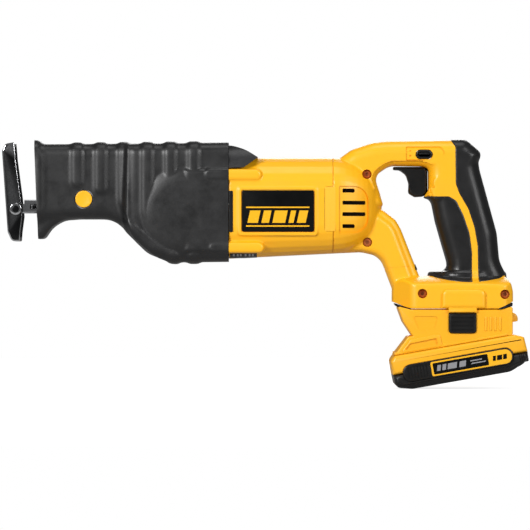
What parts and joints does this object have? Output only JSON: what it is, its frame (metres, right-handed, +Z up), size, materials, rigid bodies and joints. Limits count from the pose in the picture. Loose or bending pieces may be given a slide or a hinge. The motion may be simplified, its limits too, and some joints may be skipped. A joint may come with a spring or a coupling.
{
  "type": "cordless reciprocating saw",
  "caption": "Cordless reciprocating saw with a rubber-covered nose, pivoting shoe, barrel motor housing, D-shaped rear handle and slide-on battery pack.",
  "frame": {"origin": "under the middle of the saw's bounding box, at the height of its lowest point", "axes": "+X from the shoe to the rear, along the motor axis; +Z up; +Y to the tool's right"},
  "size_m": [0.4538, 0.0764, 0.2146],
  "materials": {
    "dark_steel": "blackened",
    "steel": "machined",
    "grey_rubber": "soft, dull",
    "cast_aluminium": "as cast",
    "sintered_bronze": "sintered",
    "black_plastic": "moulded, fine texture",
    "yellow_plastic": "moulded, fine texture",
    "copper": "drawn copper and laminations",
    "carbon": "pressed carbon",
    "cell_wrap": "shrink wrap"
  },
  "bodies": {
    "tool": {"front_boot": "grey_rubber", "gear_case": "cast_aluminium", "gear_case_cover": "cast_aluminium", "top_cap": "grey_rubber", "crank_bearing": "steel", "plunger_bushing": "sintered_bronze", "plunger_seal": "black_plastic", "motor_housing": "yellow_plastic", "motor_can": "steel", "upper_magnet": "dark_steel", "lower_magnet": "dark_steel", "front_bearing": "steel", "rear_bearing": "steel", "brush_ring": "black_plastic", "left_brush": "carbon", "right_brush": "carbon", "left_side_plate": "black_plastic", "right_side_plate": "black_plastic", "left_handle_shell": "yellow_plastic", "right_handle_shell": "yellow_plastic", "left_front_grip": "grey_rubber", "right_front_grip": "grey_rubber", "left_rear_grip": "grey_rubber", "right_rear_grip": "grey_rubber", "trigger_switch": "black_plastic", "handle_screw_1": "dark_steel", "handle_screw_2": "dark_steel", "handle_screw_3": "dark_steel", "handle_screw_4": "dark_steel"},
    "rotor": {"motor_shaft": "steel", "pinion": "steel", "armature": "copper", "commutator": "copper", "cooling_fan": "black_plastic"},
    "crank": {"crank_gear": "steel", "crank_roller": "steel"},
    "ram": {"plunger": "steel", "blade_clamp": "dark_steel"},
    "collar": {"clamp_collar": "dark_steel"},
    "post": {"shoe_post": "steel"},
    "shoe": {"shoe_plate": "dark_steel", "shoe_pivot_pin": "steel"},
    "release": {"shoe_release_button": "yellow_plastic"},
    "trigger": {"trigger": "black_plastic"},
    "lock_off": {"lock_off_button": "black_plastic"},
    "adapter": {"adapter_housing": "yellow_plastic", "adapter_stem": "black_plastic"},
    "left_catch": {"left_adapter_button": "black_plastic"},
    "right_catch": {"right_adapter_button": "black_plastic"},
    "pack": {"pack_upper_shell": "yellow_plastic", "pack_lower_shell": "black_plastic", "battery_cell_1": "cell_wrap", "battery_cell_2": "cell_wrap", "battery_cell_3": "cell_wrap", "battery_cell_4": "cell_wrap", "battery_cell_5": "cell_wrap"},
    "pack_latch": {"pack_latch_button": "black_plastic"}
  },
  "joints": [
    {"name": "motor_spin", "type": "hinge", "parent": "tool", "child": "rotor", "pos_m": [-0.07123, 0, 0.15687], "axis": [1, 0, 0], "continuous": true},
    {"name": "crank_spin", "type": "hinge", "parent": "tool", "child": "crank", "pos_m": [-0.07123, 0, 0.15687], "axis": [0, 1, 0], "continuous": true},
    {"name": "plunger_stroke", "type": "slide", "parent": "tool", "child": "ram", "axis": [1, 0, 0], "range_m": [-0.0143, 0.0143]},
    {"name": "collar_twist", "type": "hinge", "parent": "ram", "child": "collar", "pos_m": [-0.15123, 0, 0.17688], "axis": [1, 0, 0], "range_deg": [0, 60], "stiffness_Nm_per_rad": 0.15},
    {"name": "shoe_reach", "type": "slide", "parent": "tool", "child": "post", "axis": [-1, 0, 0], "range_m": [0, 0.025]},
    {"name": "shoe_tilt", "type": "hinge", "parent": "post", "child": "shoe", "pos_m": [-0.21523, 0, 0.15538], "axis": [0, 1, 0], "range_deg": [-20, 12]},
    {"name": "shoe_release", "type": "slide", "parent": "tool", "child": "release", "axis": [0, 1, 0], "range_m": [0, 0.0025], "stiffness_N_per_m": 1200},
    {"name": "trigger_pull", "type": "slide", "parent": "tool", "child": "trigger", "axis": [1, 0, 0], "range_m": [0, 0.007], "stiffness_N_per_m": 1500},
    {"name": "lock_off_push", "type": "slide", "parent": "tool", "child": "lock_off", "axis": [0, 1, 0], "range_m": [0, 0.004]},
    {"name": "adapter_drop", "type": "slide", "parent": "tool", "child": "adapter", "axis": [0.1736, 0, -0.9848], "range_m": [0, 0.075]},
    {"name": "left_catch_press", "type": "slide", "parent": "adapter", "child": "left_catch", "axis": [0, 1, 0], "range_m": [0, 0.0025], "stiffness_N_per_m": 1500},
    {"name": "right_catch_press", "type": "slide", "parent": "adapter", "child": "right_catch", "axis": [0, -1, 0], "range_m": [0, 0.0025], "stiffness_N_per_m": 1500},
    {"name": "pack_slide", "type": "slide", "parent": "adapter", "child": "pack", "axis": [0.9848, 0, 0.1736], "range_m": [0, 0.11]},
    {"name": "pack_latch_press", "type": "slide", "parent": "pack", "child": "pack_latch", "axis": [-0.9848, 0, -0.1736], "range_m": [0, 0.003], "stiffness_N_per_m": 1500}
  ],
  "couplings": [
    {"joint": "crank_spin", "follows": "motor_spin", "ratio": -0.27273}
  ]
}
